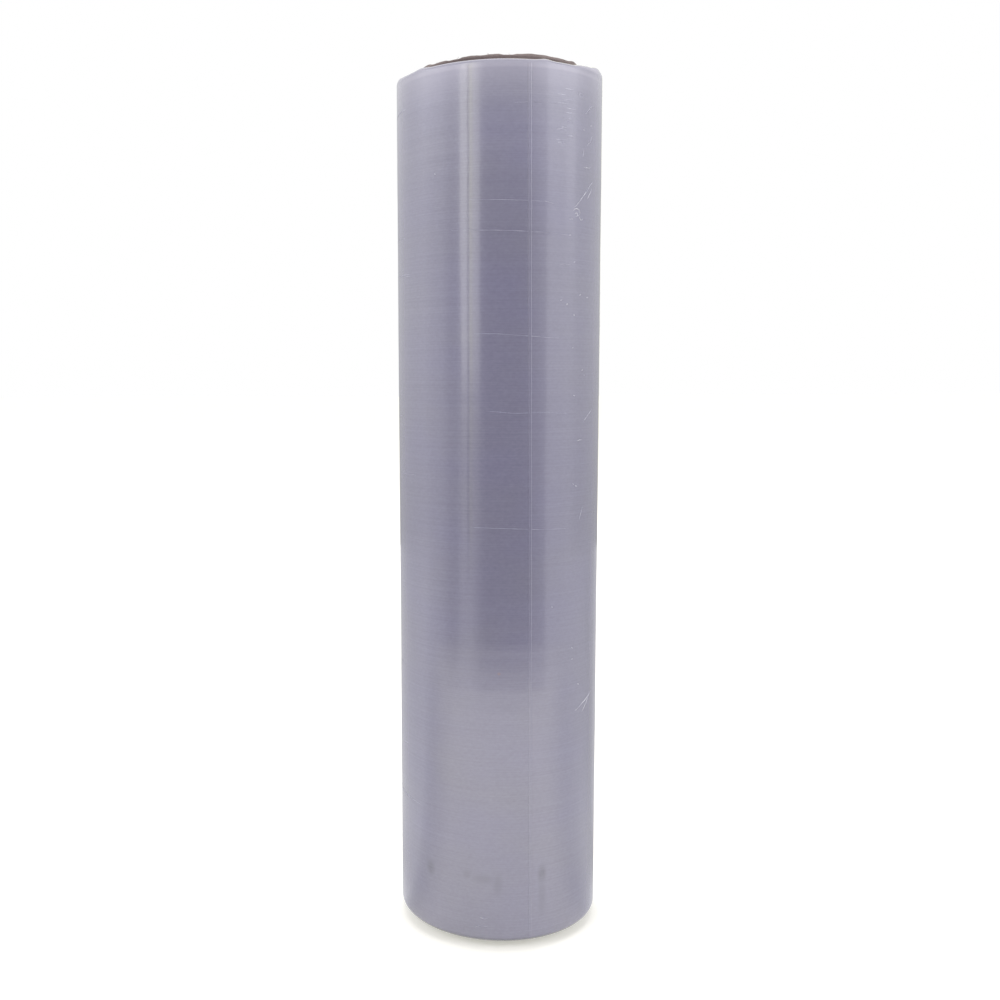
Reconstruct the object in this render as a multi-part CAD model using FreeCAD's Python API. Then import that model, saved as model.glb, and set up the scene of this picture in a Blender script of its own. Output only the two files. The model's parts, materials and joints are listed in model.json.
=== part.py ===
"""Roll of clear stretch film for wrapping packs by hand, in millimetres.

Two pieces: a spiral-wound cardboard core, and the film wound tightly on it. The core is longer than
the film is wide, so both of its ends stand proud, and the roll stands on the lower one. The origin is
the centre of that lower end, +Z is the axis of the roll, and -Y is the side seen in the photograph.
"""

import FreeCAD
import Part

import math
import os

# Core: a laminated board tube, open right through so that a dispenser's plugs fit in it.
core_bore_diameter = 76.2
core_wall = 5.0
core_overhang = 4.5
core_edge_bevel = 0.5
largest_bevel = 0.4  # of the wall

# Film: width of the web, and how deep it is wound on the core.
film_width = 457.0
film_build = 11.9
film_shoulder_radius = 3.5
largest_shoulder = 0.9  # of the depth wound

# Turns at the two ends: the web wanders sideways as it is wound, so the ends show rings.
turn_band_width = 1.05
turn_band_groove = 0.3
turn_band_wander = 0.2
turn_band_phase = 2.1  # radians from one band to the next, so that no two neighbours match

# Tail: the loose end of the web, folded into a narrow hem that clings down the length of the roll.
tail_hem_width = 2.0
tail_hem_thickness = 0.2
tail_hem_bearing = 16.0  # degrees from -Y towards +X
tail_hem_root = 1.0

# Places that follow from those sizes.
core_bore_radius = core_bore_diameter / 2
core_outer_radius = core_bore_radius + core_wall
core_length = film_width + 2 * core_overhang
film_outer_radius = core_outer_radius + film_build
film_bottom = core_overhang
film_top = film_bottom + film_width
shoulder_radius = min(film_shoulder_radius, largest_shoulder * film_build)
shoulder_inner_radius = film_outer_radius - shoulder_radius


def point(radius, height):
    """A point of a section, on the +X side of the axis."""
    return FreeCAD.Vector(radius, 0, height)


def line(start, end):
    return Part.LineSegment(start, end).toShape()


def corner_arc(centre_radius, centre_height, radius, start_angle, end_angle):
    """Arc of a section from one angle to another, counted from the outward direction towards +Z."""
    middle_angle = (start_angle + end_angle) / 2

    def on_arc(angle):
        turn = math.radians(angle)
        return point(centre_radius + radius * math.cos(turn), centre_height + radius * math.sin(turn))

    return Part.Arc(on_arc(start_angle), on_arc(middle_angle), on_arc(end_angle)).toShape()


def turned(edges, sweep=360.0):
    """Solid made by turning a closed section about the axis."""
    section = Part.Face(Part.Wire(Part.__sortEdges__(edges)))
    return section.revolve(FreeCAD.Vector(0, 0, 0), FreeCAD.Vector(0, 0, 1), sweep)


def cardboard_core():
    """Tube with its four cut edges slightly worn off."""
    bevel = min(core_edge_bevel, largest_bevel * core_wall)
    inner = core_bore_radius
    outer = core_outer_radius
    top = core_length
    corners = [
        point(inner, bevel),
        point(inner, top - bevel),
        point(inner + bevel, top),
        point(outer - bevel, top),
        point(outer, top - bevel),
        point(outer, bevel),
        point(outer - bevel, 0),
        point(inner + bevel, 0),
    ]
    return turned([line(start, end) for start, end in zip(corners, corners[1:] + corners[:1])])


def turn_bands(end_height, outward):
    """Points across one end of the film, from the core to the shoulder.

    Each band of turns is a low crest between two grooves. The web has one width, so a band that
    wandered up stands higher at the top end and is set in by as much at the bottom end.
    """
    face_width = shoulder_inner_radius - core_outer_radius
    count = max(1, round(face_width / turn_band_width))
    pitch = face_width / count
    points = []
    for band in range(count):
        wander = turn_band_wander * math.sin(turn_band_phase * (band + 1))
        groove_radius = core_outer_radius + band * pitch
        points.append(point(groove_radius, end_height - outward * turn_band_groove))
        points.append(point(groove_radius + pitch / 2, end_height + wander))
    points.append(point(shoulder_inner_radius, end_height))
    return points


def wound_film():
    """All the turns as one solid, with ringed ends and rounded shoulders."""
    top_points = turn_bands(film_top, 1)
    bottom_points = turn_bands(film_bottom, -1)
    edges = [line(bottom_points[0], top_points[0])]
    for points in (top_points, bottom_points):
        edges += [line(start, end) for start, end in zip(points, points[1:])]
    upper = film_top - shoulder_radius
    lower = film_bottom + shoulder_radius
    edges.append(corner_arc(shoulder_inner_radius, upper, shoulder_radius, 90, 0))
    edges.append(line(point(film_outer_radius, upper), point(film_outer_radius, lower)))
    edges.append(corner_arc(shoulder_inner_radius, lower, shoulder_radius, 0, -90))
    return turned(edges)


def tail_hem():
    """Narrow raised strip from shoulder to shoulder, rooted in the film below it."""
    proud = shoulder_radius + tail_hem_thickness
    root_radius = film_outer_radius - min(tail_hem_root, shoulder_radius)
    upper = film_top - shoulder_radius
    lower = film_bottom + shoulder_radius
    reach = math.degrees(math.acos((root_radius - shoulder_inner_radius) / proud))
    upper_end = upper + proud * math.sin(math.radians(reach))
    lower_end = lower - proud * math.sin(math.radians(reach))
    strip = turned(
        [
            corner_arc(shoulder_inner_radius, upper, proud, reach, 0),
            line(point(shoulder_inner_radius + proud, upper), point(shoulder_inner_radius + proud, lower)),
            corner_arc(shoulder_inner_radius, lower, proud, 0, -reach),
            line(point(root_radius, lower_end), point(root_radius, upper_end)),
        ],
        math.degrees(tail_hem_width / film_outer_radius),
    )
    towards_viewer = -90.0
    strip.rotate(FreeCAD.Vector(0, 0, 0), FreeCAD.Vector(0, 0, 1), towards_viewer + tail_hem_bearing)
    return strip


def film_roll():
    """The wound film with the hem of its tail."""
    return wound_film().fuse(tail_hem()).removeSplitter()


def only_solid(shape):
    """The one solid in a shape, so that each file holds a plain solid."""
    if len(shape.Solids) != 1:
        raise ValueError(f"expected one solid, found {len(shape.Solids)}")
    return shape.Solids[0]


os.makedirs("parts", exist_ok=True)
only_solid(cardboard_core()).exportStep("parts/cardboard_core.step")
only_solid(film_roll()).exportStep("parts/film_roll.step")
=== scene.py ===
"""A roll of clear stretch film on its cardboard core, standing on the core's lower end."""

import json
import math
import random

import bpy
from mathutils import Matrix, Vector


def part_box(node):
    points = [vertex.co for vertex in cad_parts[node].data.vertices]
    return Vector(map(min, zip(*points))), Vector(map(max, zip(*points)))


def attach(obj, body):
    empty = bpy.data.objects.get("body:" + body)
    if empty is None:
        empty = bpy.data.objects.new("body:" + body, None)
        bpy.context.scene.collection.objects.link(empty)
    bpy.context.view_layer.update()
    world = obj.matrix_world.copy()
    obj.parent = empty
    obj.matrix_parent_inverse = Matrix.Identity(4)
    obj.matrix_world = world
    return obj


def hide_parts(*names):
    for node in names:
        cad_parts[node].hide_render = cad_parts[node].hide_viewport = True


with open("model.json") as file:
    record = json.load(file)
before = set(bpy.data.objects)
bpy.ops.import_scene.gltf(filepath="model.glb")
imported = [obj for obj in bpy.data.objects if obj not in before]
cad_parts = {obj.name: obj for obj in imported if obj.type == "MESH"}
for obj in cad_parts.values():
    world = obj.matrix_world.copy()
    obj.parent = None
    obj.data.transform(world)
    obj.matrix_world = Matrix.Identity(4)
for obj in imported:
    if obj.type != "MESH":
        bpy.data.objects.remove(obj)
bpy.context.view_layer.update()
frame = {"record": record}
mm = 0.001


# Cardboard core. A tube wound from strips of brown kraft board, laid in a spiral and glued ply on ply,
# then sawn to length. The sawn rims show the plies as fine rings, and both walls show the spiral
# seams where the edges of the strips meet.
bore_radius = frame["record"]["mounts"][0]["dims"]["r_mm"] * mm
core_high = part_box("cardboard_core")[1]
core_radius = core_high.x
core_length = core_high.z
rim_bevel = 0.5 * mm
ply_count = 11
ply_groove = 0.12 * mm
ply_swell = 0.05 * mm
ply_set_in = 0.06 * mm
around_core = 240
wall_spacing = 6.0 * mm
weld = 0.001 * mm
crisp_edge = math.radians(50)


def drawn_section(name, points):
    """An object holding one closed wire section, drawn point by point as (radius, height)."""
    bpy.ops.object.select_all(action="DESELECT")
    bpy.ops.mesh.primitive_plane_add(size=mm, location=(0, 0, 0))
    piece = bpy.context.object
    piece.name = name
    piece.data.name = name
    bpy.ops.object.mode_set(mode="EDIT")
    bpy.ops.mesh.select_all(action="SELECT")
    bpy.ops.mesh.merge(type="CENTER")
    bpy.ops.transform.translate(value=(points[0][0], 0, points[0][1]))
    for (radius, height), (next_radius, next_height) in zip(points, points[1:] + points[:1]):
        step = (next_radius - radius, 0, next_height - height)
        bpy.ops.mesh.extrude_region_move(TRANSFORM_OT_translate={"value": step})
    bpy.ops.mesh.select_all(action="SELECT")
    bpy.ops.mesh.remove_doubles(threshold=weld)
    return piece


def turned_on_the_axis(piece, around):
    """Spins the drawn section into a closed ring about the roll's axis."""
    bpy.ops.mesh.select_all(action="SELECT")
    bpy.ops.mesh.spin(steps=around, angle=math.tau, center=(0, 0, 0), axis=(0, 0, 1))
    bpy.ops.mesh.select_all(action="SELECT")
    bpy.ops.mesh.remove_doubles(threshold=weld)
    bpy.ops.mesh.normals_make_consistent(inside=False)
    bpy.ops.object.mode_set(mode="OBJECT")


def ply_rim(height, inward):
    """The sawn rim from the bore to the outside: a crest for each ply, and a groove at each glue line."""
    width = core_radius - bore_radius - 2 * rim_bevel
    points = []
    for ply in range(ply_count):
        start = bore_radius + rim_bevel + width * ply / ply_count
        swell = ply_swell * math.sin(2.6 * ply)
        points.append((start, height + inward * ply_groove))
        points.append((start + 0.25 * width / ply_count, height + inward * (ply_set_in + swell)))
        points.append((start + 0.75 * width / ply_count, height + inward * (ply_set_in - swell)))
    points.append((core_radius - rim_bevel, height + inward * ply_groove))
    return points


wall_length = core_length - 2 * rim_bevel
wall_steps = round(wall_length / wall_spacing)
wall_heights = [rim_bevel + wall_length * i / wall_steps for i in range(wall_steps + 1)]
core_section = [(bore_radius, z) for z in wall_heights]
core_section += ply_rim(core_length, -1)
core_section += [(core_radius, z) for z in reversed(wall_heights)]
core_section += list(reversed(ply_rim(0.0, 1)))
core = drawn_section("core_tube", core_section)
turned_on_the_axis(core, around_core)


def bearing_of(spot):
    """Degrees round the roll from -Y towards +X."""
    return math.degrees(math.atan2(spot.x, -spot.y))


def grouped(piece, name, belongs):
    """A vertex group of the points that a test picks out."""
    bpy.ops.object.mode_set(mode="EDIT")
    bpy.ops.mesh.select_mode(type="VERT")
    bpy.ops.mesh.select_all(action="DESELECT")
    bpy.ops.object.mode_set(mode="OBJECT")
    for vertex in piece.data.vertices:
        vertex.select = belongs(vertex.co)
    bpy.ops.object.mode_set(mode="EDIT")
    group = piece.vertex_groups.new(name=name)
    piece.vertex_groups.active = group
    bpy.ops.object.vertex_group_assign()
    bpy.ops.object.mode_set(mode="OBJECT")
    return group


def roughened(piece, name, group, noise_size, depth):
    """Moves a group of points up by a cloudy noise, by up to the depth."""
    cloud = bpy.data.textures.new(name, "CLOUDS")
    cloud.noise_scale = noise_size
    cloud.noise_depth = 3
    shaping = piece.modifiers.new(name, "DISPLACE")
    shaping.texture = cloud
    shaping.texture_coords = "LOCAL"
    shaping.direction = "Z"
    shaping.mid_level = 0.0
    shaping.strength = depth
    shaping.vertex_group = group.name
    bpy.ops.object.modifier_apply(modifier=name)


rough_cut = 0.45 * mm
saw_marks = 4 * mm
upper_cut = grouped(core, "upper_cut", lambda spot: spot.z > core_length - rim_bevel / 2)
lower_cut = grouped(core, "lower_cut", lambda spot: spot.z < rim_bevel / 2)
roughened(core, "sawn_above", upper_cut, saw_marks, -rough_cut)
roughened(core, "sawn_below", lower_cut, saw_marks, rough_cut)

# Places along the upper cut, each from one bearing to another in degrees, and how far it is lifted in mm.
torn_places = [(2.5, 9.5, -0.5), (-37, -28, -0.55), (-13, -10, -0.3), (101, 110, -0.5), (196, 204, -0.45)]
burred_places = [(22, 34, 0.5), (45, 60, 0.6), (64, 88, 1.3), (-82, -60, 1.1), (150, 163, 0.3)]
torn_band = 2.2 * rim_bevel
torn_plies = 3.2 * mm
burr_reach = 7 * mm
torn_reach = 2.6 * mm
for first, last, lift_by in torn_places + burred_places:
    grouped(
        core,
        "torn_ply",
        lambda spot: spot.z > core_length - torn_band
        and first < (bearing_of(spot) + 90) % 360 - 90 < last
        and spot.to_2d().length > core_radius - torn_plies,
    )
    bpy.ops.object.mode_set(mode="EDIT")
    bpy.ops.transform.translate(
        value=(0, 0, lift_by * mm),
        use_proportional_edit=True,
        proportional_edit_falloff="SMOOTH",
        proportional_size=burr_reach if lift_by > 0 else torn_reach,
    )
    bpy.ops.object.mode_set(mode="OBJECT")
core.vertex_groups.clear()
bpy.ops.object.shade_smooth_by_angle(angle=crisp_edge)


def strand(name, points, thickness):
    """A thin tube along points in space, drawn out to nothing at both ends."""
    bpy.ops.object.select_all(action="DESELECT")
    bpy.ops.curve.primitive_nurbs_path_add(radius=mm, location=(0, 0, 0))
    thread = bpy.context.object
    thread.name = name
    path = thread.data.splines[0]
    path.points.add(len(points) - len(path.points))
    for i, (bend, spot) in enumerate(zip(path.points, points)):
        bend.co = (spot[0], spot[1], spot[2], 1.0)
        bend.radius = max(0.12, abs(math.sin(math.pi * i / (len(points) - 1))) ** 0.6)
    thread.data.resolution_u = 2
    thread.data.bevel_depth = thickness / 2
    thread.data.bevel_resolution = 1
    thread.data.use_fill_caps = True
    bpy.ops.object.convert(target="MESH")
    return bpy.context.object


def joined(name, pieces):
    """One piece from several."""
    bpy.ops.object.select_all(action="DESELECT")
    for piece in pieces:
        piece.select_set(True)
    bpy.context.view_layer.objects.active = pieces[0]
    bpy.ops.object.join()
    pieces[0].name = name
    pieces[0].data.name = name
    return pieces[0]


fibre_count = 64
fibre_points = 5
fibre_root = 0.3 * mm
fuzz_draw = random.Random(11)
torn_fibres = []
for i in range(fibre_count):
    around = math.radians(fuzz_draw.uniform(-180, 180))
    radius = core_radius - abs(fuzz_draw.gauss(0, 1.1)) * mm - 0.2 * mm
    radius = max(radius, bore_radius + fibre_root)
    length = fuzz_draw.uniform(0.4, 1.3) * mm
    lean = fuzz_draw.uniform(-0.9, 0.9)
    points = []
    for step in range(fibre_points):
        share = step / (fibre_points - 1)
        angle = around + lean * share * length / radius + 0.006 * math.sin(5 * share + i)
        rise = core_length - rough_cut - fibre_root + length * share * math.sqrt(1 - 0.6 * lean * lean)
        points.append((radius * math.sin(angle), -radius * math.cos(angle), rise))
    torn_fibres.append(strand("torn_fibre", points, fuzz_draw.uniform(0.1, 0.3) * mm))
sawn_fuzz = joined("sawn_fuzz", torn_fibres)
bpy.ops.object.shade_smooth_by_angle(angle=crisp_edge)

kraft = bpy.data.materials.new("kraft_board")
kraft.use_nodes = True


def new_node(material, kind, label, **settings):
    """A node of a material, with its own settings, placed to the right of the last one."""
    node = material.node_tree.nodes.new(kind)
    node.label = label
    row, column = divmod(len(material.node_tree.nodes), 12)
    node.location = (180 * column, -160 * row)
    for key, value in settings.items():
        setattr(node, key, value)
    return node


def join_up(material, *pairs):
    """Links sockets, given as (node, output, node, input)."""
    for source, output, target, socket in pairs:
        material.node_tree.links.new(source.outputs[output], target.inputs[socket])


def sum_of(material, label, operation, first, second):
    """A Math node between two things, each a (node, output) pair or a number. Gives (node, "Value")."""
    node = new_node(material, "ShaderNodeMath", label, operation=operation)
    for index, side in enumerate((first, second)):
        if isinstance(side, tuple):
            material.node_tree.links.new(side[0].outputs[side[1]], node.inputs[index])
        else:
            node.inputs[index].default_value = side
    return node, "Value"


def fade(material, label, source, span, levels=(0.0, 1.0), kind="SMOOTHSTEP"):
    """Eases from one level to another as the source crosses the span."""
    node = new_node(material, "ShaderNodeMapRange", label, interpolation_type=kind)
    node.inputs["From Min"].default_value, node.inputs["From Max"].default_value = span
    node.inputs["To Min"].default_value, node.inputs["To Max"].default_value = levels
    join_up(material, (*source, node, "Value"))
    return node, "Result"


def drawn_out_noise(material, place, label, scale, detail, roughness=0.5):
    """Noise on the piece's own coordinates, drawn out along a direction where its scale is small."""
    stretch = new_node(material, "ShaderNodeMapping", label + ", drawn out")
    stretch.inputs["Scale"].default_value = scale
    noise = new_node(material, "ShaderNodeTexNoise", label)
    noise.inputs["Scale"].default_value = 1.0
    noise.inputs["Detail"].default_value = detail
    noise.inputs["Roughness"].default_value = roughness
    join_up(material, (place, "Object", stretch, "Vector"), (stretch, "Vector", noise, "Vector"))
    return noise, "Fac"


def blend(material, label, first, second, share):
    """The first thing with a fixed share of the second in it."""
    mix = new_node(material, "ShaderNodeMix", label, data_type="FLOAT")
    mix.inputs["Factor"].default_value = share
    join_up(material, (*first, mix, "A"), (*second, mix, "B"))
    return mix, "Result"


def two_tones(material, label, source, first, second):
    """A ramp from one tone to another, each given as (place on the ramp, colour)."""
    ramp = new_node(material, "ShaderNodeValToRGB", label)
    for stop, (position, colour) in zip(ramp.color_ramp.elements, (first, second)):
        stop.position = position
        stop.color = colour
    join_up(material, (*source, ramp, "Fac"))
    return ramp, "Color"


def painted_over(material, label, under, colour, share):
    """One colour laid over what is under it, as thickly as the share says."""
    mix = new_node(material, "ShaderNodeMix", label, data_type="RGBA")
    mix.inputs["B"].default_value = colour
    join_up(material, (*under, mix, "A"), (*share, mix, "Factor"))
    return mix, "Result"


board = kraft.node_tree.nodes["Principled BSDF"]
place = new_node(kraft, "ShaderNodeTexCoord", "place on the core")
split = new_node(kraft, "ShaderNodeSeparateXYZ", "across and up")
join_up(kraft, (place, "Object", split, "Vector"))

seam_lead = 118 * mm
seam_open = 0.35 * mm
seam_edge = 0.9 * mm
bearing = sum_of(kraft, "bearing", "ARCTAN2", (split, "Y"), (split, "X"))
climb = sum_of(kraft, "climb of the strip", "MULTIPLY", bearing, seam_lead / math.tau)
unwound = sum_of(kraft, "height less climb", "SUBTRACT", (split, "Z"), climb)
strips = sum_of(kraft, "strips", "DIVIDE", unwound, seam_lead)
in_strip = sum_of(kraft, "place in the strip", "FRACT", strips, 0.0)
from_edge = sum_of(kraft, "from the strip's edge", "PINGPONG", in_strip, 0.5)
seam_span = (seam_open / seam_lead, seam_edge / seam_lead)
seam = fade(kraft, "open seam", from_edge, seam_span, (1.0, 0.0), "LINEAR")

fibres = drawn_out_noise(kraft, place, "paper fibres", (900, 900, 2600), 6.0, 0.65)
blotches = drawn_out_noise(kraft, place, "uneven pulp", (55, 55, 55), 4.0)
tone = blend(kraft, "pulp and fibres", blotches, fibres, 0.45)
pulp_dark = (0.106, 0.08, 0.078, 1)
pulp_pale = (0.212, 0.17, 0.165, 1)
pulp = two_tones(kraft, "kraft browns", tone, (0.32, pulp_dark), (0.68, pulp_pale))
glued = painted_over(kraft, "dark glue in the seam", pulp, (0.1, 0.075, 0.065, 1), seam)

# Near both sawn ends the board is painted paler: partly the paler cut face, and at the upper rim painted
# light for the lit top of the core.
pale_lit_cut_reach = 1.9 * mm
pale_lit_cut_full = 0.2 * mm
core_middle = core_length / 2
from_core_middle = sum_of(kraft, "from the middle", "SUBTRACT", (split, "Z"), core_middle)
to_cut = sum_of(kraft, "towards a cut", "ABSOLUTE", from_core_middle, 0.0)
pale_cut_and_rim_light = fade(kraft, "paler cut face with painted rim light", to_cut, (core_middle - pale_lit_cut_reach, core_middle - pale_lit_cut_full))
board_with_pale_lit_cut = painted_over(kraft, "cut face paler, with painted rim light", glued, (0.36, 0.3, 0.285, 1), pale_cut_and_rim_light)

wave_for_a_ring = 0.314
ply_edges = new_node(kraft, "ShaderNodeTexWave", "edges of the plies", wave_type="RINGS")
ply_edges.rings_direction = "Z"
ply_edges.inputs["Scale"].default_value = wave_for_a_ring * ply_count / (core_radius - bore_radius)
ply_edges.inputs["Distortion"].default_value = 2.2
ply_edges.inputs["Detail"].default_value = 2.0
ply_edges.inputs["Detail Scale"].default_value = 0.25
at_cut = sum_of(kraft, "only on the cut", "MULTIPLY", (ply_edges, "Fac"), pale_cut_and_rim_light)
glue_lines = sum_of(kraft, "glue lines are faint", "MULTIPLY", at_cut, 0.55)
ringed = painted_over(kraft, "dark glue between plies", board_with_pale_lit_cut, (0.15, 0.118, 0.105, 1), glue_lines)
relief = sum_of(kraft, "seam sinks", "MULTIPLY", seam, -1.4)
height = sum_of(kraft, "surface of the board", "ADD", relief, fibres)
bump = new_node(kraft, "ShaderNodeBump", "board relief")
bump.inputs["Strength"].default_value = 0.35
bump.inputs["Distance"].default_value = 0.15 * mm
join_up(
    kraft,
    (place, "Object", ply_edges, "Vector"),
    (*ringed, board, "Base Color"),
    (*height, bump, "Height"),
    (bump, "Normal", board, "Normal"),
)
board.inputs["Roughness"].default_value = 0.85
board.inputs["Specular IOR Level"].default_value = 0.25
for board_piece in (core, sawn_fuzz):
    board_piece.data.materials.clear()
    board_piece.data.materials.append(kraft)
    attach(board_piece, "root")
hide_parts("cardboard_core")


# Wound film. One long web of clear stretch film, wound under tension on the core until the turns
# cling into one glassy, faintly violet body. The web's thick and thin lanes raise it in shallow
# bands, and its two edges stack up into the fine rings of the ends.
film_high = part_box("film_roll")[1]
film_radius = film_high.x
overhang = 4.5 * mm
film_bottom = overhang
film_top = core_length - overhang
shoulder = 3.5 * mm
upper_shoulder = 2.2 * mm
around_film = 160
lane_spacing = 1.06 * mm
lane_swell = 0.035 * mm
shoulder_steps = 7
end_rings = 22
ring_groove = 0.16 * mm
edge_wander = 0.2 * mm


def lane_height(z):
    """How far the thick and thin lanes of the web raise the surface at one height."""
    slow = math.sin(z / (41 * mm)) + 0.7 * math.sin(z / (17 * mm) + 1.3)
    quick = 0.35 * math.sin(z / (4.3 * mm) + 0.4) + 0.22 * math.sin(z / (1.9 * mm) + 2.0)
    return lane_swell * (slow + quick)


def wound_end(height, outward, rounding):
    """One end of the film from the core to the shoulder, ring by ring."""
    width = film_radius - rounding - core_radius
    pitch = width / end_rings
    points = []
    for ring in range(end_rings):
        start = core_radius + ring * pitch
        wander = edge_wander * (0.6 * math.sin(0.82 * ring) + 0.4 * math.sin(2.3 * ring + 1))
        points.append((start, height + wander - outward * ring_groove))
        points.append((start + 0.5 * pitch, height + wander))
    return points


def shoulder_arc(height, outward, rounding):
    """The rounded edge from an end of the film to its side."""
    centre = (film_radius - rounding, height - outward * rounding)
    points = []
    for i in range(shoulder_steps + 1):
        turn = math.radians(90 - 90 * i / shoulder_steps)
        reach = rounding + lane_height(height) * i / shoulder_steps
        points.append((centre[0] + reach * math.cos(turn), centre[1] + outward * rounding * math.sin(turn)))
    return points


side_bottom = film_bottom + shoulder
side_top = film_top - upper_shoulder
lanes = round((side_top - side_bottom) / lane_spacing)
side_heights = [side_bottom + (side_top - side_bottom) * i / lanes for i in range(1, lanes)]
film_section = wound_end(film_bottom, -1, shoulder) + shoulder_arc(film_bottom, -1, shoulder)
film_section += [(film_radius + lane_height(z), z) for z in side_heights]
upper_end = wound_end(film_top, 1, upper_shoulder) + shoulder_arc(film_top, 1, upper_shoulder)
film_section += list(reversed(upper_end))
film = drawn_section("wound_film", film_section)
turned_on_the_axis(film, around_film)

slack = bpy.data.textures.new("slack_in_the_turns", "CLOUDS")
slack.noise_scale = 0.05
sway = film.modifiers.new("sway", "DISPLACE")
sway.texture = slack
sway.texture_coords = "LOCAL"
sway.mid_level = 0.5
sway.strength = 0.12 * mm
bpy.ops.object.modifier_apply(modifier=sway.name)

# Turns that slipped along the upper rim, from one bearing to another in degrees: how far they were
# lifted, and how far round that fades out, in mm.
rim_lifts = [
    (-40, 18, -0.85, 9),
    (31, 44, -0.9, 7),
    (-62, -53, -0.55, 7),
    (57, 66, 0.7, 10),
    (70, 116, 2.1, 14),
    (-100, -76, 1.0, 8),
    (128, 140, 0.8, 30),
]
for first, last, lift_by, reach_out in rim_lifts:
    grouped(
        film,
        "slipped_turns",
        lambda spot: spot.z > film_top - mm and first < bearing_of(spot) < last,
    )
    bpy.ops.object.mode_set(mode="EDIT")
    bpy.ops.transform.translate(
        value=(0, 0, lift_by * mm),
        use_proportional_edit=True,
        proportional_edit_falloff="SMOOTH",
        proportional_size=reach_out * mm,
    )
    bpy.ops.object.mode_set(mode="OBJECT")
film.vertex_groups.clear()
bpy.ops.object.shade_smooth_by_angle(angle=math.radians(35))


# Tail of the web. The loose end of the film is folded into a narrow hem that clings down the side,
# a little right of the middle. Its two edges stand just clear of the turn below, so each one
# catches the light as a fine line.
hem_bearing = math.radians(17.6)
hem_lean = math.radians(-2.7)
hem_width = 2.0 * mm
hem_proud = 0.2 * mm
hem_sunk = 3 * hem_proud
hem_profile = (-0.16, 0.0, 0.03, 0.0, -0.03, 0.0, 0.03, 0.0, -0.16)


def on_the_side(bearing_angle, z, proud=0.0):
    """The point of the film's side at a bearing from -Y towards +X, and so far proud of it."""
    radius = film_radius + proud
    return Vector((radius * math.sin(bearing_angle), -radius * math.cos(bearing_angle), z))


hem_points = []
for z in [side_bottom] + side_heights[::4] + [side_top - mm]:
    hem_points.append((film_radius + hem_proud + lane_height(z), z))
inner_hem = [(radius - hem_sunk, z) for radius, z in reversed(hem_points)]
hem = drawn_section("tail_hem", hem_points + inner_hem)
bpy.ops.mesh.select_all(action="SELECT")
bpy.ops.mesh.edge_face_add()
hem_steps = len(hem_profile) - 1
bpy.ops.mesh.spin(steps=hem_steps, angle=-hem_width / film_radius, center=(0, 0, 0), axis=(0, 0, 1))
bpy.ops.mesh.select_all(action="SELECT")
bpy.ops.mesh.remove_doubles(threshold=weld)
bpy.ops.mesh.normals_make_consistent(inside=False)
bpy.ops.object.mode_set(mode="OBJECT")
column_turn = math.degrees(hem_width / film_radius) / hem_steps
for column, rise in enumerate(hem_profile):
    column_bearing = 90 + column * column_turn
    grouped(
        hem,
        "hem_column",
        lambda spot: abs(bearing_of(spot) - column_bearing) < column_turn / 2
        and spot.to_2d().length > film_radius - hem_proud,
    )
    bpy.ops.object.mode_set(mode="EDIT")
    swell = 1 + rise * mm / film_radius
    bpy.ops.transform.resize(value=(swell, swell, 1), center_override=(0, 0, 0))
    bpy.ops.object.mode_set(mode="OBJECT")
hem.vertex_groups.clear()
leaning = hem.modifiers.new("lean", "SIMPLE_DEFORM")
leaning.deform_method = "TWIST"
leaning.deform_axis = "Z"
leaning.angle = hem_lean
bpy.ops.object.modifier_apply(modifier=leaning.name)
hem.rotation_euler.z = hem_bearing - math.pi / 2
bpy.ops.object.transform_apply(location=True, rotation=True, scale=True)
bpy.ops.object.shade_smooth_by_angle(angle=crisp_edge)
film = joined("wound_film", [film, hem])


# Finish of the film. Clear film over clear film: a dim violet body under a bright gloss, drawn
# out up and down by the fine lines that winding leaves round the roll. The stacked edge of the web
# is milky under the upper rim, painted light lightens the top of the side, and painted shade darkens the
# lower edge.
cling = bpy.data.materials.new("clear_stretch_film")
cling.use_nodes = True
gloss = cling.node_tree.nodes["Principled BSDF"]
film_place = new_node(cling, "ShaderNodeTexCoord", "place on the film")
parts = new_node(cling, "ShaderNodeSeparateXYZ", "across and up")
join_up(cling, (film_place, "Object", parts, "Vector"))

fine_lines = drawn_out_noise(cling, film_place, "fine winding lines", (16, 16, 2300), 3.0)
broad_lines = drawn_out_noise(cling, film_place, "broad winding bands", (7, 7, 240), 2.0)
mottle = drawn_out_noise(cling, film_place, "mottled cling between turns", (520, 520, 900), 3.0)
dapple = drawn_out_noise(cling, film_place, "slow change of tint", (22, 22, 30), 2.0)
line_relief = sum_of(cling, "fine lines are shallow", "MULTIPLY", fine_lines, 0.55)
mottle_relief = sum_of(cling, "mottle is shallow", "MULTIPLY", mottle, 0.07)
film_relief = sum_of(cling, "relief of the winding", "ADD", line_relief, broad_lines)
film_relief = sum_of(cling, "relief with the mottle", "ADD", film_relief, mottle_relief)
film_bump = new_node(cling, "ShaderNodeBump", "winding relief")
film_bump.inputs["Strength"].default_value = 1.0
film_bump.inputs["Distance"].default_value = 0.03 * mm

milky_span = (film_top - 3.2 * mm, film_top - 0.2 * mm)
near_end = fade(cling, "milky edge of the web", (parts, "Z"), milky_span)
# Painted shade: the side is darkened along its lower edge, where the roll stands close to the floor.
low_shade_span = (film_bottom + 1.4 * mm, film_bottom + 3.2 * mm)
painted_low_shade = fade(cling, "grime on the lower edge", (parts, "Z"), low_shade_span, (0.75, 0.0))
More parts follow.
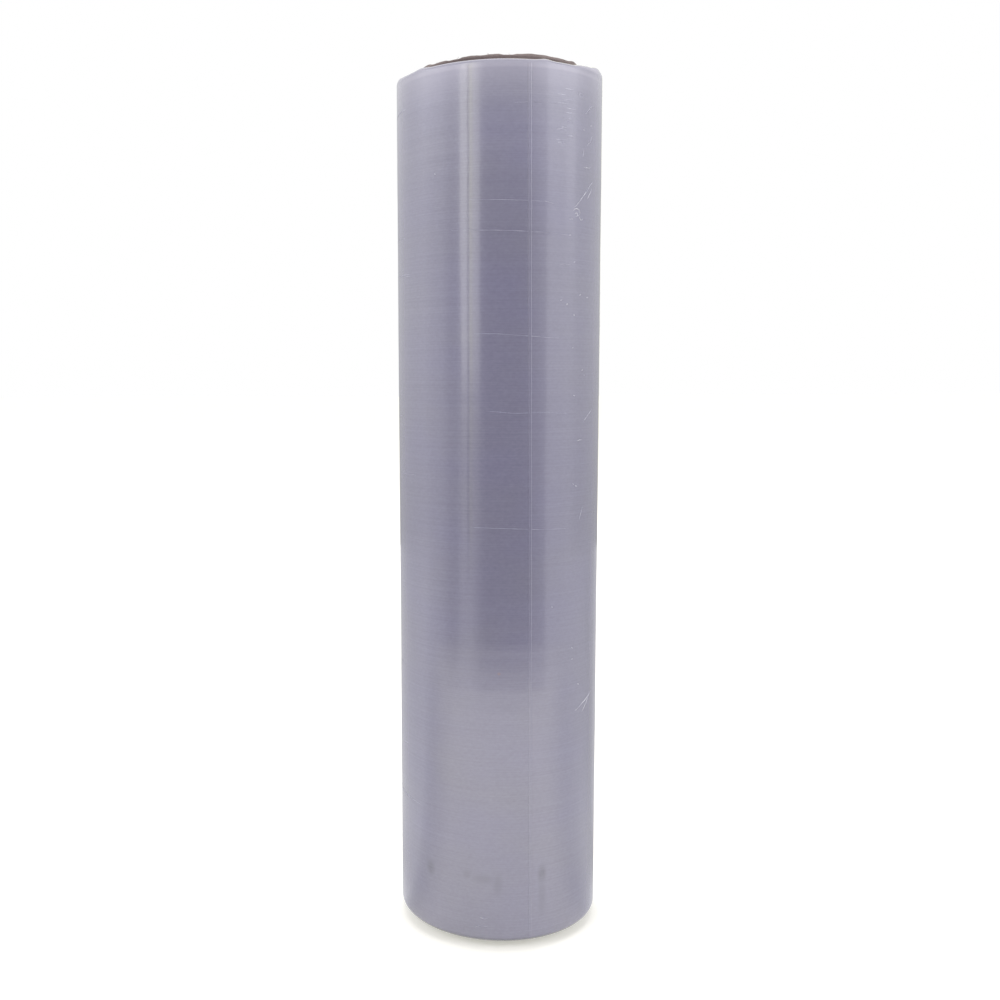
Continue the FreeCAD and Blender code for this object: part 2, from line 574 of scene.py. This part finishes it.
# Painted light: the top of the side is lightened, unevenly, from about 18 mm under the upper rim.
rim_light_span = (film_top - 18 * mm, film_top + 4 * mm)
rim_light_sway = sum_of(cling, "haze reaches down unevenly", "MULTIPLY", dapple, 9 * mm)
under_rim = sum_of(cling, "height with the sway", "ADD", (parts, "Z"), rim_light_sway)
painted_rim_light = fade(cling, "haze under the upper rim", under_rim, rim_light_span, (0.0, 0.4))
# Painted highlight: a pale band about 4 mm under the upper rim stands in for the shoulder's highlight,
# coming and going round the roll.
highlight_band_height = film_top - 4.0 * mm
from_highlight_band = sum_of(cling, "height from the bead", "SUBTRACT", (parts, "Z"), highlight_band_height)
off_highlight_band = sum_of(cling, "off the bead", "ABSOLUTE", from_highlight_band, 0.0)
painted_highlight_band = fade(cling, "painted highlight band under the rim", off_highlight_band, (0.2 * mm, 1.8 * mm), (0.46, 0.0))
uneven_highlight_band = sum_of(cling, "bead comes and goes", "MULTIPLY", painted_highlight_band, dapple)
painted_top_light = sum_of(cling, "haze and bead", "ADD", painted_rim_light, uneven_highlight_band)
milky_edge_and_painted_light = sum_of(cling, "milky edge and painted light", "MAXIMUM", near_end, painted_top_light)

tone_mix = blend(cling, "lines and mottle", fine_lines, mottle, 0.45)
body_dark = (0.155, 0.148, 0.228, 1)
body_pale = (0.194, 0.187, 0.272, 1)
body_tone = two_tones(cling, "violet body", tone_mix, (0.3, body_dark), (0.7, body_pale))
grey_tint = (1.0, 1.0, 0.955, 1)
violet_tint = (0.985, 0.98, 1.0, 1)
tint = two_tones(cling, "greyer here, more violet there", dapple, (0.35, grey_tint), (0.65, violet_tint))
tinted = new_node(cling, "ShaderNodeMix", "body with its tint", data_type="RGBA", blend_type="MULTIPLY")
tinted.inputs["Factor"].default_value = 1.0
join_up(cling, (*body_tone, tinted, "A"), (*tint, tinted, "B"))

to_viewer = sum_of(cling, "towards the hem's side", "MULTIPLY", (parts, "Y"), -1.0)
film_bearing = sum_of(cling, "bearing on the film", "ARCTAN2", (parts, "X"), to_viewer)
lean_rate = -hem_lean / (film_top - film_bottom)
hem_tilt = sum_of(cling, "lean of the hem", "MULTIPLY", (parts, "Z"), lean_rate)
from_hem = sum_of(cling, "round from the hem", "ADD", film_bearing, hem_tilt)
hem_edge = (hem_bearing, hem_bearing + math.radians(0.4))
past_hem = fade(cling, "past the hem's edge", from_hem, hem_edge, kind="LINEAR")
loose_span = (hem_bearing + math.radians(8), hem_bearing + math.radians(34))
fades_out = fade(cling, "clings tighter further on", from_hem, loose_span, (1.0, 0.0))
last_turn = sum_of(cling, "last turn, not yet tight", "MULTIPLY", past_hem, fades_out)
last_turn = sum_of(cling, "last turn is faint", "MULTIPLY", last_turn, 0.065)


def soft_spots(label, places):
    """Soft spots on the side: 1 in their middles, 0 past their edges."""
    total = None
    for angle, z, half_width, half_height in places:
        centre = on_the_side(math.radians(angle), z * mm)
        off = new_node(cling, "ShaderNodeVectorMath", label + ", off centre", operation="SUBTRACT")
        off.inputs[1].default_value = centre
        sized = new_node(cling, "ShaderNodeVectorMath", label + ", sized", operation="MULTIPLY")
        across, upward = 1 / (half_width * mm), 1 / (half_height * mm)
        sized.inputs[1].default_value = (across, across, upward)
        far = new_node(cling, "ShaderNodeVectorMath", label + ", how far", operation="LENGTH")
        join_up(cling, (film_place, "Object", off, "Vector"), (off, "Vector", sized, "Vector"))
        join_up(cling, (sized, "Vector", far, "Vector"))
        one = fade(cling, label + ", soft edge", (far, "Value"), (0.15, 1.0), (1.0, 0.0))
        total = sum_of(cling, label + ", all", "MAXIMUM", total, one) if total else one
    return total


# Darker spots on the side: bearing in degrees, height, half width and half height in mm.
grey_spots = [(-41.0, 40.0, 4.3, 6.2), (25.6, 41.5, 3.7, 7.4)]
grey_trails = [
    (-17.1, 41.7, 3.6, 3.4),
    (0.3, 37.5, 3.8, 8.5),
    (25.6, 30.0, 3.4, 16.0),
    (-8.0, 40.0, 9.0, 4.0),
]
spots = soft_spots("grey spots", grey_spots)
spots = sum_of(cling, "spots are soft", "MULTIPLY", spots, 0.72)
trails = soft_spots("grey trails", grey_trails)
trails = sum_of(cling, "trails are faint", "MULTIPLY", trails, 0.36)
darkened_spots = sum_of(cling, "soft_spots", "MAXIMUM", spots, trails)
broken = sum_of(cling, "mottle breaks them up", "MULTIPLY_ADD", mottle, 1.0)
broken[0].inputs[2].default_value = 0.05
darkened_spots = sum_of(cling, "broken smudges", "MULTIPLY", darkened_spots, broken)
spots_and_painted_shade = sum_of(cling, "smudges and grime", "MAXIMUM", darkened_spots, painted_low_shade)
grain = soft_spots("amber grain", [(0.7, 151.9, 1.3, 1.1)])

loose_film = (0.36, 0.35, 0.46, 1)
spot_and_shade_grey = (0.052, 0.054, 0.086, 1)
amber = (0.225, 0.165, 0.2, 1)
milky = (0.41, 0.39, 0.475, 1)
colour = painted_over(cling, "last turn is paler", (tinted, "Result"), loose_film, last_turn)
# Darker spots, and the painted shade along the lower edge, darken the body here.
colour = painted_over(cling, "smudges darken the body", colour, spot_and_shade_grey, spots_and_painted_shade)
colour = painted_over(cling, "grain caught under the film", colour, amber, grain)
# The milky stacked edge, with the painted highlight band and painted rim light, whitens the top of the
# side.
colour = painted_over(cling, "milky ends and painted top light", colour, milky, milky_edge_and_painted_light)
join_up(
    cling,
    (*film_relief, film_bump, "Height"),
    (*colour, gloss, "Base Color"),
    (film_bump, "Normal", gloss, "Normal"),
    (film_bump, "Normal", gloss, "Coat Normal"),
)
gloss.inputs["Roughness"].default_value = 0.2
gloss.inputs["IOR"].default_value = 1.7
gloss.inputs["Coat Weight"].default_value = 1.0
gloss.inputs["Coat Roughness"].default_value = 0.075
gloss.inputs["Coat IOR"].default_value = 1.7
film.data.materials.clear()
film.data.materials.append(cling)
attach(film, "root")
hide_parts("film_roll")


# Creases. Winding traps a little slack in the web, and it lies down as fine raised lines. Long level
# ones run round the side, and on the right a pinch in the web left short folds, loops and ticks.
# Each is a path of (bearing in degrees, height in mm), with its thickness and how proud it is, in mm.
def along(path, spacing):
    """Points of a path of (bearing in degrees, height in mm), about so many mm apart."""
    points = [path[0]]
    for (angle, z), (next_angle, next_z) in zip(path, path[1:]):
        run = math.hypot(math.radians(next_angle - angle) * film_radius / mm, next_z - z)
        steps = max(1, round(run / spacing))
        for i in range(1, steps + 1):
            points.append((angle + (next_angle - angle) * i / steps, z + (next_z - z) * i / steps))
    return points


crease_draw = random.Random(5)


def crease(path, thickness, proud, wander=0.08):
    """A fold along the side of the film, thick in mm, with its top so many mm proud of the side."""
    length = 0.0
    for (angle, z), (next_angle, next_z) in zip(path, path[1:]):
        length += math.hypot(math.radians(next_angle - angle) * film_radius / mm, next_z - z)
    points = []
    for angle, z in along(path, min(2.4, length / 6)):
        z += crease_draw.uniform(-wander, wander)
        depth = (proud - thickness / 2) * mm
        points.append(on_the_side(math.radians(angle), z * mm, depth + lane_height(z * mm)))
    return strand("crease", points, thickness * mm)


long_creases = [
    ([(5.7, 439.2), (22, 440.0), (38, 440.3)], 0.24, 0.1),
    ([(-20, 393.4), (-9.7, 393.1), (-4.5, 392.9), (10, 392.5), (22, 392.2), (30, 392.2)], 0.2, 0.09),
    ([(-28, 378.7), (-19, 378.5), (-10, 378.2), (8, 377.6), (25, 377.0), (46, 376.3)], 0.32, 0.16),
    ([(-15, 327.1), (-2, 326.9), (15, 325.8), (28, 324.9), (46, 324.7)], 0.22, 0.1),
    ([(-13.5, 288.7), (10, 286.9), (20, 287.3), (46, 287.2)], 0.18, 0.08),
    ([(-22, 228.8), (5, 228.1), (28, 226.9), (49, 226.4)], 0.16, 0.07),
    ([(24.2, 392.4), (27, 391.9), (30.7, 391.3)], 0.3, 0.13),
    ([(33.6, 361.8), (38, 361.9), (41.9, 361.7)], 0.26, 0.12),
    ([(31.1, 286.8), (36, 286.4), (40.3, 286.6)], 0.26, 0.11),
]
pinched_folds = [
    ([(43.8, 390.3), (46.2, 391.9), (52.3, 397.5), (59.6, 403.9), (62, 405.4)], 0.42, 0.2),
    ([(55.8, 395.9), (58.2, 398.6), (60.9, 402.3)], 0.36, 0.17),
    (
        [(43.2, 388.9), (44.4, 389.9), (46.4, 390.4), (48.8, 389.2), (49.0, 387.2), (47.1, 386.5)],
        0.36,
        0.18,
    ),
    ([(44.6, 387.3), (45.8, 388.2), (47.0, 387.4), (46.2, 386.0), (44.9, 386.4)], 0.32, 0.17),
    ([(48.0, 386.2), (49.4, 384.6), (50.8, 384.8), (51.8, 386.0)], 0.36, 0.18),
    ([(40.6, 384.9), (41.2, 384.2)], 0.3, 0.16),
    ([(42.0, 385.2), (42.7, 384.3)], 0.3, 0.16),
    ([(51.6, 411.1), (53.6, 411.6), (56.0, 411.2), (58.6, 411.9)], 0.34, 0.16),
    ([(51.6, 280.6), (54.6, 282.2), (57.9, 284.6), (61.4, 286.6), (65.1, 288.8)], 0.4, 0.14),
    ([(48.1, 271.8), (50.4, 272.4), (52.8, 272.2)], 0.34, 0.14),
    ([(54.5, 237.7), (53.2, 236.0), (52.5, 234.2), (50.7, 230.1)], 0.36, 0.14),
    ([(44.4, 125.7), (50.0, 127.6), (55.7, 129.9), (63.0, 132.4), (70.1, 135.4)], 0.5, 0.16),
    ([(66.3, 134.6), (63.4, 132.2), (60.5, 129.3), (53.6, 123.7)], 0.44, 0.13),
]
ticks = [
    (41.0, 376.6), (44.6, 363.4), (35.1, 343.9), (39.3, 342.0), (49.5, 347.0), (56.4, 346.0),
    (44.6, 336.6), (43.7, 319.9), (52.1, 308.6), (54.1, 306.0), (45.2, 295.5), (45.1, 249.5),
    (47.6, 248.3), (58.9, 432.8), (51.6, 429.7), (53.9, 411.0), (51.3, 141.4), (45.6, 162.1),
    (45.6, 156.1), (30.8, 185.9), (-35.8, 407.4),
]
soft_folds = [
    ([(-9.6, 18.3), (-7.4, 17.9), (-5.2, 18.1)], 0.4, 0.19),
    ([(-12.2, 12.9), (-9.8, 13.7), (-8.0, 13.4), (-5.6, 13.8)], 0.36, 0.17),
    (
        [
            (45.0, 447.6), (46.4, 446.4), (47.8, 446.3), (48.6, 447.3),
            (49.6, 447.0), (50.4, 445.2), (51.6, 444.3),
        ],
        0.7,
        0.18,
    ),
    ([(51.4, 436.6), (53.0, 438.0), (55.6, 439.4), (58.4, 441.8), (62.0, 444.0)], 0.8, 0.18),
    ([(53.5, 420.4), (55.6, 422.8), (58.5, 424.9), (60.4, 427.9), (62.5, 429.6)], 0.8, 0.17),
    ([(50.5, 415.0), (51.6, 417.6), (51.8, 420.2), (53.4, 422.0)], 0.7, 0.15),
]
creases = [crease(path, thickness, proud) for path, thickness, proud in long_creases]
combed = [crease(path, thickness, proud) for path, thickness, proud in soft_folds]
folds = [crease(path, thickness, proud, 0.02) for path, thickness, proud in pinched_folds]
for angle, z in ticks:
    reach = crease_draw.uniform(0.4, 0.8)
    slope = crease_draw.uniform(-0.4, 0.4)
    folds.append(crease([(angle - reach, z - slope), (angle + reach, z + slope)], 0.36, 0.17, 0.0))

combed_rows = 13
combed_from = 421
combed_pitch = 2.2
for row in range(combed_rows):
    z = combed_from + combed_pitch * row + crease_draw.uniform(-0.6, 0.6)
    first = 29 + crease_draw.uniform(-2, 6)
    last = 47 + crease_draw.uniform(-8, 3)
    path = [(first + (last - first) * i / 5, z + crease_draw.uniform(-0.4, 0.4)) for i in range(6)]
    combed.append(crease(path, 0.9, 0.14, 0.0))

unseen_creases = 46
for i in range(unseen_creases):
    middle_bearing = crease_draw.uniform(80, 300)
    z = crease_draw.uniform(24, 448)
    reach = crease_draw.uniform(3, 24)
    slope = crease_draw.gauss(0, 0.6)
    path = [(middle_bearing - reach, z - slope), (middle_bearing, z + crease_draw.gauss(0, 0.25))]
    path.append((middle_bearing + reach, z + slope))
    creases.append(crease(path, crease_draw.uniform(0.26, 0.4), crease_draw.uniform(0.11, 0.17)))
soft_edge = math.radians(60)
creases = joined("film_creases", creases)
bpy.ops.object.shade_smooth_by_angle(angle=soft_edge)
folds = joined("pinched_folds", folds)
bpy.ops.object.shade_smooth_by_angle(angle=soft_edge)
combed = joined("combed_folds", combed)
bpy.ops.object.shade_smooth_by_angle(angle=soft_edge)


def folded_film(name, clear, milky_and_sheen_tone):
    """Film doubled over in a fold: clear where it is thin, milky where it is thick, and made paler as a
    painted highlight along the fold.
    """
    folded = bpy.data.materials.new(name)
    folded.use_nodes = True
    fold_shine = folded.node_tree.nodes["Principled BSDF"]
    fold_place = new_node(folded, "ShaderNodeTexCoord", "place on the fold")
    fold_noise = drawn_out_noise(folded, fold_place, "thicker and thinner folds", (170, 170, 170), 2.0)
    fold_tone = two_tones(folded, "clear to milky, with painted sheen", fold_noise, (0.38, clear), (0.64, milky_and_sheen_tone))
    join_up(folded, (*fold_tone, fold_shine, "Base Color"))
    fold_shine.inputs["Roughness"].default_value = 0.28
    fold_shine.inputs["IOR"].default_value = 1.5
    return folded


# Fold colours: milky folded film, made paler still as a painted highlight so each fold shows as a bright
# line.
thin_fold = folded_film("crease_film", (0.26, 0.25, 0.34, 1), (0.43, 0.43, 0.53, 1))
thick_fold = folded_film("pinched_film", (0.42, 0.42, 0.52, 1), (0.8, 0.8, 0.86, 1))
soft_fold = folded_film("combed_film", (0.33, 0.32, 0.41, 1), (0.6, 0.6, 0.69, 1))
for fold_piece, finish in ((creases, thin_fold), (folds, thick_fold), (combed, soft_fold)):
    fold_piece.data.materials.clear()
    fold_piece.data.materials.append(finish)
    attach(fold_piece, "root")


# Studio. A pale floor that runs out to white, a white surround, and soft lamps from in front on
# both sides and from above. Cards outside the picture show only in the film's gloss: dim ones
# stand for the room, and bright ones leave the tall strips of light on the roll.
def white_to_the_eye(material, plain, strength):
    """The strength where a ray comes from the camera, a gloss or a clear thing, else the plain value."""
    ray = new_node(material, "ShaderNodeLightPath", "kind of ray")
    seen = sum_of(material, "camera or gloss", "MAXIMUM", (ray, "Is Camera Ray"), (ray, "Is Glossy Ray"))
    seen = sum_of(material, "or through", "MAXIMUM", seen, (ray, "Is Transmission Ray"))
    share = sum_of(material, "share", "MULTIPLY", seen, strength - plain)
    return sum_of(material, "level", "ADD", share, plain)


floor_lift_close = 0.42
floor_close = (0.056, 0.068)
floor_lift_near = 0.5
floor_lift_far = 0.66
floor_near = 0.25
floor_far = 1.3
floor_size = 30.0

bpy.ops.object.select_all(action="DESELECT")
bpy.ops.mesh.primitive_grid_add(x_subdivisions=4, y_subdivisions=4, size=floor_size, location=(0, 0, 0))
floor = bpy.context.object
floor.name = "pale_floor"
pale = bpy.data.materials.new("pale_floor")
pale.use_nodes = True
ground = pale.node_tree.nodes["Principled BSDF"]
ground.inputs["Base Color"].default_value = (0.8, 0.79, 0.785, 1)
ground.inputs["Roughness"].default_value = 0.9
ground.inputs["Specular IOR Level"].default_value = 0.1
ground.inputs["Emission Color"].default_value = (1.0, 0.99, 0.88, 1)
floor_place = new_node(pale, "ShaderNodeTexCoord", "place on the floor")
reach = new_node(pale, "ShaderNodeVectorMath", "distance from the roll", operation="LENGTH")
join_up(pale, (floor_place, "Object", reach, "Vector"))
far_reach = (floor_near, floor_far)
run_out = fade(pale, "runs out to white", (reach, "Value"), far_reach, (floor_lift_near, floor_lift_far))
shade_here = floor_lift_close / floor_lift_near
touching = fade(pale, "darker where the roll stands", (reach, "Value"), floor_close, (shade_here, 1.0))
lift_here = sum_of(pale, "lift by distance", "MULTIPLY", run_out, touching)
seen_floor = white_to_the_eye(pale, 0.0, 1.0)
lift = sum_of(pale, "lift of the floor", "MULTIPLY", seen_floor, lift_here)
join_up(pale, (*lift, ground, "Emission Strength"))
floor.data.materials.append(pale)

surround = bpy.data.worlds.new("white_surround")
bpy.context.scene.world = surround
surround.use_nodes = True
backdrop = surround.node_tree.nodes["Background"]
backdrop.inputs["Color"].default_value = (1, 1, 1, 1)
surround_level = white_to_the_eye(surround, 0.5, 1.0)
join_up(surround, (*surround_level, backdrop, "Strength"))

card_step = 3


def only_in_gloss(card, paint):
    """Paints a card, and hides it from everything but glossy reflections."""
    card.data.materials.append(paint)
    card.visible_camera = False
    card.visible_diffuse = False
    card.visible_shadow = False
    card.visible_transmission = False


def curved_card(name, paint, distance, first, last, bottom, top):
    """A card curved round the roll, between two bearings in degrees from -Y towards +X."""
    bpy.ops.object.select_all(action="DESELECT")
    bpy.ops.mesh.primitive_plane_add(size=mm, location=(0, 0, 0))
    card = bpy.context.object
    card.name = name
    bpy.ops.object.mode_set(mode="EDIT")
    bpy.ops.mesh.select_all(action="SELECT")
    bpy.ops.mesh.merge(type="CENTER")
    start = math.radians(first)
    foot = (distance * math.sin(start), -distance * math.cos(start), bottom)
    bpy.ops.transform.translate(value=foot)
    bpy.ops.mesh.extrude_region_move(TRANSFORM_OT_translate={"value": (0, 0, top - bottom)})
    bpy.ops.mesh.select_all(action="SELECT")
    steps = max(2, round(abs(last - first) / card_step))
    bpy.ops.mesh.spin(steps=steps, angle=-math.radians(last - first), center=(0, 0, 0), axis=(0, 0, 1))
    bpy.ops.object.mode_set(mode="OBJECT")
    only_in_gloss(card, paint)


cool_white = (1.0, 1.0, 1.05, 1)
warm_white = (1.0, 1.0, 0.8, 1)
clean_white = (1.0, 1.0, 0.98, 1)


def glow_paint(name, across, foot=(0.0, 0.48, 0.78), head=(0.55, 0.9, 0.85), colour=cool_white):
    """A white glow whose level goes with the bearing, falls towards the foot and lifts to the head."""
    paint = bpy.data.materials.new(name)
    paint.use_nodes = True
    paint.node_tree.nodes.remove(paint.node_tree.nodes["Principled BSDF"])
    glow = new_node(paint, "ShaderNodeEmission", "level of the card")
    glow.inputs["Color"].default_value = colour
    spot_on_card = new_node(paint, "ShaderNodeTexCoord", "place on the card")
    sides = new_node(paint, "ShaderNodeSeparateXYZ", "across, along and up")
    join_up(paint, (spot_on_card, "Object", sides, "Vector"))
    to_front = sum_of(paint, "to the front", "MULTIPLY", (sides, "Y"), -1.0)
    card_bearing = sum_of(paint, "bearing", "ARCTAN2", (sides, "X"), to_front)
    turns = sum_of(paint, "share of a turn", "MULTIPLY_ADD", card_bearing, 1 / math.tau)
    turns[0].inputs[2].default_value = 0.5
    ramp = new_node(paint, "ShaderNodeValToRGB", "level round the roll")
    ramp.color_ramp.interpolation = "LINEAR"
    stops = ramp.color_ramp.elements
    for i, (card_angle, level) in enumerate(across):
        stop = stops[i] if i < 2 else stops.new(1.0)
        stop.position = card_angle / 360 + 0.5
        stop.color = (level, level, level, 1)
    join_up(paint, (*turns, ramp, "Fac"))
    low = fade(paint, "dimmer low down", (sides, "Z"), foot[:2], (foot[2], 1.0))
    high = fade(paint, "lighter high up", (sides, "Z"), head[:2], (0.0, head[2]))
    away = sum_of(paint, "either way round", "ABSOLUTE", card_bearing, 0.0)
    toward = fade(paint, "less so behind", away, (math.radians(75), math.radians(115)), (1.0, 0.2))
    high = sum_of(paint, "ceiling in front", "MULTIPLY", high, toward)
    level = sum_of(paint, "with the height", "MULTIPLY", (ramp, "Color"), low)
    level = sum_of(paint, "and the ceiling", "ADD", level, high)
    join_up(
        paint,
        (*level, glow, "Strength"),
        (glow, "Emission", paint.node_tree.nodes["Material Output"], "Surface"),
    )
    return paint


room_distance = 1.4
room_top = 1.5
card_distance = 1.2
room_levels = [
    (-180, 0.35),
    (180, 0.35),
    (-150, 0.64),
    (-120, 0.92),
    (-90, 1.28),
    (-64, 1.06),
    (-55, 0.72),
    (-46, 0.66),
    (-41, 1.0),
    (-30, 0.95),
    (-19, 0.4),
    (-12, 0.25),
    (20, 0.24),
    (33, 0.29),
    (40, 0.46),
    (52, 0.66),
    (55, 1.2),
    (84, 1.3),
    (102, 1.0),
    (125, 0.8),
    (150, 0.6),
]
curved_card("room", glow_paint("room_glow", room_levels), room_distance, -180, 180, 0.0, room_top)
strip_foot = (0.22, 0.36, 0.45)
strip_head = (0.45, 0.77, 0.4)
high_foot = (0.45, 0.68, 0.87)
strips_of_light = [
    ("strip_edge", -42.4, -41.0, 1.55, 1.65, 0.02, (0.34, 0.5, 0.4), clean_white),
    ("strip_outer", -41.0, -33.8, 1.78, 1.9, 0.02, strip_foot, clean_white),
    ("strip_bar", -33.8, -32.0, 0.25, 0.25, 0.02, strip_foot, warm_white),
    ("strip_middle", -32.0, -28.6, 1.85, 1.8, 0.02, strip_foot, warm_white),
    ("strip_gap", -28.6, -27.8, 1.2, 1.2, 0.02, strip_foot, warm_white),
    ("strip_inner", -27.8, -20.0, 1.6, 1.05, 0.02, strip_foot, clean_white),
    ("strip_right", 77.0, 91.0, 1.5, 1.5, 0.45, high_foot, cool_white),
    ("strip_behind", 166.0, 178.0, 1.3, 1.1, 0.02, strip_foot, warm_white),
]
for name, first, last, first_level, last_level, bottom, foot, colour in strips_of_light:
    levels = [(first, first_level), (last, last_level)]
    strip_paint = glow_paint(name, levels, foot, strip_head, colour)
    curved_card(name, strip_paint, card_distance, first, last, bottom, room_top)

bpy.ops.object.select_all(action="DESELECT")
ground_size = 2 * room_distance
bpy.ops.mesh.primitive_grid_add(x_subdivisions=4, y_subdivisions=4, size=ground_size, location=(0, 0, 0))
dim_ground = bpy.context.object
dim_ground.name = "dim_ground"
dim_ground.location = (0, 0, mm)
bpy.ops.object.transform_apply(location=True, rotation=True, scale=True)
side_levels = {
    -180: 0.7, 180: 0.7, -150: 0.76, -120: 1.03, -90: 1.45, 84: 1.35, 102: 1.2, 125: 0.78, 150: 0.63,
}
ground_levels = [(card_angle, side_levels.get(card_angle, level)) for card_angle, level in room_levels]
ground_paint = glow_paint("ground_glow", ground_levels, foot=(0.0, 0.48, 0.82))
ground_glow = next(n for n in ground_paint.node_tree.nodes if n.bl_idname == "ShaderNodeEmission")
ground_sides = next(n for n in ground_paint.node_tree.nodes if n.bl_idname == "ShaderNodeSeparateXYZ")
ground_spot = new_node(ground_paint, "ShaderNodeTexCoord", "place on the ground")
ground_reach = new_node(ground_paint, "ShaderNodeVectorMath", "distance from the roll", operation="LENGTH")
join_up(ground_paint, (ground_spot, "Object", ground_reach, "Vector"))
from_roll = (ground_reach, "Value")
beyond = fade(ground_paint, "past the table's edge", from_roll, (0.48, 0.76))
ground_share = sum_of(ground_paint, "how far behind", "DIVIDE", (ground_sides, "Y"), from_roll)
behind = fade(ground_paint, "beside and behind", ground_share, (-0.7, -0.1))
in_shade = fade(ground_paint, "shade of the roll itself", from_roll, (0.05, 0.2), (0.7, 1.0))
ground_level = ground_glow.inputs["Strength"].links[0].from_node
shaded = sum_of(ground_paint, "level with the shade", "MULTIPLY", (ground_level, "Value"), in_shade)
join_up(ground_paint, (*shaded, ground_glow, "Strength"))
covered = sum_of(ground_paint, "covered", "MAXIMUM", beyond, behind)
clear = new_node(ground_paint, "ShaderNodeBsdfTransparent", "floor shows through")
cover = new_node(ground_paint, "ShaderNodeMixShader", "clear in front")
join_up(
    ground_paint,
    (*covered, cover, 0),
    (clear, "BSDF", cover, 1),
    (ground_glow, "Emission", cover, 2),
    (cover, "Shader", ground_paint.node_tree.nodes["Material Output"], "Surface"),
)
only_in_gloss(dim_ground, ground_paint)


def soft_lamp(name, place, size, watts):
    """A square soft lamp aimed at the middle of the roll, left out of reflections."""
    bpy.ops.object.select_all(action="DESELECT")
    bpy.ops.object.light_add(type="AREA", location=place)
    lamp = bpy.context.object
    lamp.name = name
    lamp.data.shape = "SQUARE"
    lamp.data.size = size
    lamp.data.energy = watts
    aim = Vector((0, 0, core_length / 2)) - Vector(place)
    lamp.rotation_euler = aim.to_track_quat("-Z", "Y").to_euler()
    lamp.visible_camera = False
    lamp.visible_glossy = False


soft_lamp("front_left", (-1.1, -1.3, 1.2), 1.0, 14)
soft_lamp("front_right", (1.3, -1.0, 1.0), 1.0, 11)
soft_lamp("overhead", (0.1, 0.3, 1.9), 1.2, 14)
soft_lamp("behind", (-0.6, 1.6, 1.1), 1.0, 9)


# Camera. It stands to the side of the picture's middle, a little below the top of the roll, and
# looks down slightly, with the lens shifted sideways by as much as the photograph's framing has it.
frame_pixels = 1000
focal_pixels = 1120.2
middle_pixel = 420
camera_distance = 11.359 * film_radius
camera_height = film_bottom + 5.496 * film_radius
tilt = math.radians(6.393)
roll = math.radians(-0.333)
yaw = math.radians(-4.015)
ahead = Vector((math.sin(yaw) * math.cos(tilt), math.cos(yaw) * math.cos(tilt), -math.sin(tilt)))
level_right = Vector((math.cos(yaw), -math.sin(yaw), 0))
level_up = level_right.cross(ahead)
right = math.cos(roll) * level_right + math.sin(roll) * level_up
up = right.cross(ahead)

bpy.ops.object.camera_add(location=(0, -camera_distance, camera_height))
camera = bpy.context.object
camera.name = "photograph_camera"
camera.data.sensor_width = 36
camera.data.lens = focal_pixels / frame_pixels * camera.data.sensor_width
camera.data.shift_x = 0.5 - middle_pixel / frame_pixels
camera.data.clip_start = 0.01
camera.data.clip_end = 60
turn = camera.matrix_world.to_3x3()
turn.col[0] = right
turn.col[1] = up
turn.col[2] = -ahead
camera.rotation_euler = turn.to_euler()
bpy.context.scene.camera = camera
bpy.context.scene.view_settings.view_transform = "Standard"
